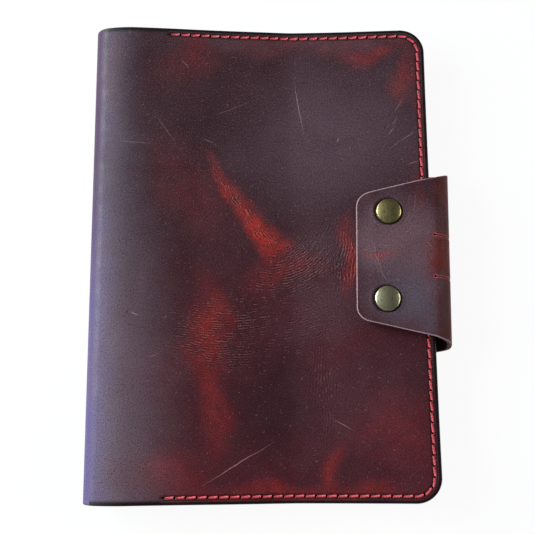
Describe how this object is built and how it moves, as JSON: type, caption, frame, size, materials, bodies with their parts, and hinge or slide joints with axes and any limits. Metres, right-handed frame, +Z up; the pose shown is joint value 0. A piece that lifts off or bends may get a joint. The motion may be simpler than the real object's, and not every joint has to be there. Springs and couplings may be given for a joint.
{
  "type": "leather notebook cover",
  "caption": "Leather cover for a bound notebook: sewn inner pockets, rounded spine and a tapered wrap-round strap that snaps shut over the front, with pen-loop slits.",
  "frame": {"origin": "on the table under the middle of the box round the closed cover, which lies on its back", "axes": "+X from the spine to the fore-edge, +Y along the spine to the head of the book, +Z up out of the front"},
  "size_m": [0.1736, 0.231, 0.024],
  "materials": {
    "outer_leather": "waxed pull-up, semi-gloss",
    "panel_leather": "matt flesh side",
    "seam_thread": "waxed",
    "antique_brass": "antiqued, brushed dark",
    "spring_wire": "bright drawn"
  },
  "bodies": {
    "back_cover": {"back_leather": "outer_leather", "back_pocket_panel": "panel_leather", "back_seam_thread": "seam_thread"},
    "spine_lower": {"spine_leather_lower": "outer_leather"},
    "spine_middle": {"spine_leather_middle": "outer_leather"},
    "spine_upper": {"spine_leather_upper": "outer_leather"},
    "front_cover": {"front_leather": "outer_leather", "front_pocket_panel": "panel_leather", "front_seam_thread": "seam_thread", "snap_stud_upper": "antique_brass", "snap_stud_lower": "antique_brass", "snap_eyelet_upper": "antique_brass", "snap_eyelet_lower": "antique_brass"},
    "strap_fold_low": {"strap_fold_lower": "outer_leather"},
    "strap_fold_mid": {"strap_fold_middle": "outer_leather"},
    "strap_fold_up": {"strap_fold_upper": "outer_leather"},
    "flap": {"strap_flap": "outer_leather", "snap_cap_upper": "antique_brass", "snap_cap_lower": "antique_brass", "snap_socket_upper": "antique_brass", "snap_socket_lower": "antique_brass", "snap_spring_upper": "spring_wire", "snap_spring_lower": "spring_wire"}
  },
  "joints": [
    {"name": "spine_lower_fold", "type": "hinge", "parent": "back_cover", "child": "spine_lower", "pos_m": [-0.0748, 0, 0], "axis": [0, -1, 0], "range_deg": [0, 28]},
    {"name": "spine_middle_fold", "type": "hinge", "parent": "spine_lower", "child": "spine_middle", "pos_m": [-0.08519, 0, 0.006], "axis": [0, -1, 0], "range_deg": [0, 60]},
    {"name": "cover_open", "type": "hinge", "parent": "spine_middle", "child": "spine_upper", "pos_m": [-0.08519, 0, 0.018], "axis": [0, -1, 0], "range_deg": [0, 60]},
    {"name": "spine_upper_fold", "type": "hinge", "parent": "spine_upper", "child": "front_cover", "pos_m": [-0.0748, 0, 0.024], "axis": [0, -1, 0], "range_deg": [0, 32]},
    {"name": "strap_root_fold", "type": "hinge", "parent": "back_cover", "child": "strap_fold_low", "pos_m": [0.0782, 0, 0], "axis": [0, 1, 0], "range_deg": [0, 27]},
    {"name": "strap_open", "type": "hinge", "parent": "strap_fold_low", "child": "strap_fold_mid", "pos_m": [0.08565, 0, 0.0043], "axis": [0, 1, 0], "range_deg": [0, 60]},
    {"name": "strap_upper_fold", "type": "hinge", "parent": "strap_fold_mid", "child": "strap_fold_up", "pos_m": [0.08565, 0, 0.0163], "axis": [0, 1, 0], "range_deg": [0, 60]},
    {"name": "strap_flap_fold", "type": "hinge", "parent": "strap_fold_up", "child": "flap", "pos_m": [0.0782, 0, 0.0206], "axis": [0, 1, 0], "range_deg": [0, 31]}
  ],
  "couplings": [
    {"joint": "spine_lower_fold", "follows": "cover_open", "ratio": 0.4666},
    {"joint": "spine_middle_fold", "follows": "cover_open", "ratio": 1},
    {"joint": "spine_upper_fold", "follows": "cover_open", "ratio": 0.5333},
    {"joint": "strap_root_fold", "follows": "strap_open", "ratio": 0.45},
    {"joint": "strap_upper_fold", "follows": "strap_open", "ratio": 1},
    {"joint": "strap_flap_fold", "follows": "strap_open", "ratio": 0.5166}
  ]
}
